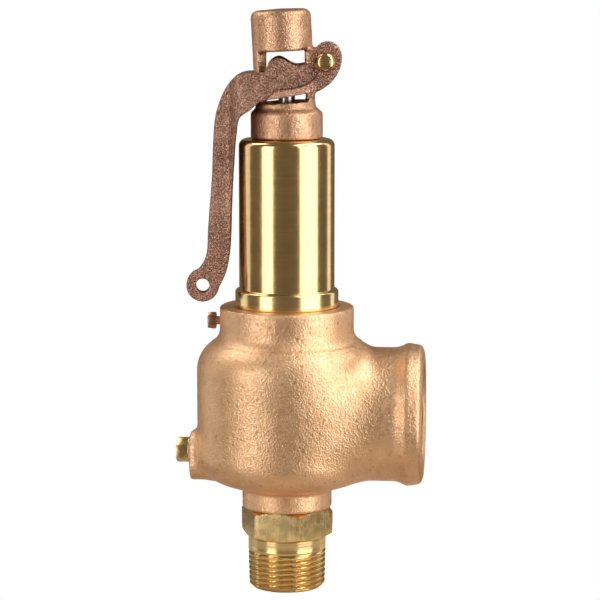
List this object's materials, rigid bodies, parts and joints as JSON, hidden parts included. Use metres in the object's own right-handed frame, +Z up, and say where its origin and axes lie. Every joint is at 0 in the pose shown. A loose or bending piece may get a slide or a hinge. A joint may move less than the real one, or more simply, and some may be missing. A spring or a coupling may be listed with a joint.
{
  "type": "pressure relief valve",
  "caption": "Spring-loaded angle relief valve in cast bronze and brass: threaded inlet below, threaded side outlet, tall round spring housing and a side lever that lifts the stem.",
  "frame": {"origin": "on the inlet's axis at the end face of the inlet thread", "axes": "+Z up along the stem, +X out of the side outlet, the lever hangs on the -X side and turns about an axis 5 degrees from Y, because the cap that carries it is turned by that much"},
  "size_m": [0.1064, 0.077, 0.2482],
  "materials": {
    "cast_bronze": "sand cast, lightly blasted",
    "lever_bronze": "coarse sand cast, darker",
    "polished_brass": "turned and polished",
    "machined_brass": "machined",
    "stainless_steel": "turned",
    "spring_steel": "oiled wire"
  },
  "bodies": {
    "housing": {"body": "cast_bronze", "cap": "cast_bronze", "bonnet": "polished_brass", "pivot_screw": "polished_brass", "inlet_nozzle": "machined_brass", "ring_screw": "machined_brass", "ring_screw_washer": "machined_brass", "bonnet_lock_screw": "machined_brass", "regulator_ring": "machined_brass", "guide_plate": "machined_brass", "upper_spring_step": "machined_brass", "compression_screw": "machined_brass", "compression_locknut": "machined_brass", "cap_set_screw": "machined_brass", "pivot_washer": "machined_brass", "pivot_nut": "machined_brass", "spring": "spring_steel"},
    "lever": {"lever": "lever_bronze"},
    "stem_group": {"stem": "stainless_steel", "disc": "stainless_steel", "disc_holder": "machined_brass", "stem_pin": "stainless_steel", "lower_spring_step": "machined_brass", "lift_nut": "machined_brass", "lift_locknut": "machined_brass"}
  },
  "joints": [
    {"name": "lever_pivot", "type": "hinge", "parent": "housing", "child": "lever", "pos_m": [0.01614, 0.00141, 0.2263], "axis": [-0.0872, 0.9962, 0], "range_deg": [0, 6]},
    {"name": "stem_lift", "type": "slide", "parent": "housing", "child": "stem_group", "axis": [0, 0, 1], "range_m": [0, 0.0017], "stiffness_N_per_m": 3000, "springref_m": -0.004, "deforming": ["spring"]}
  ],
  "couplings": [
    {"joint": "stem_lift", "follows": "lever_pivot", "m_per_rad": 0.0162}
  ]
}
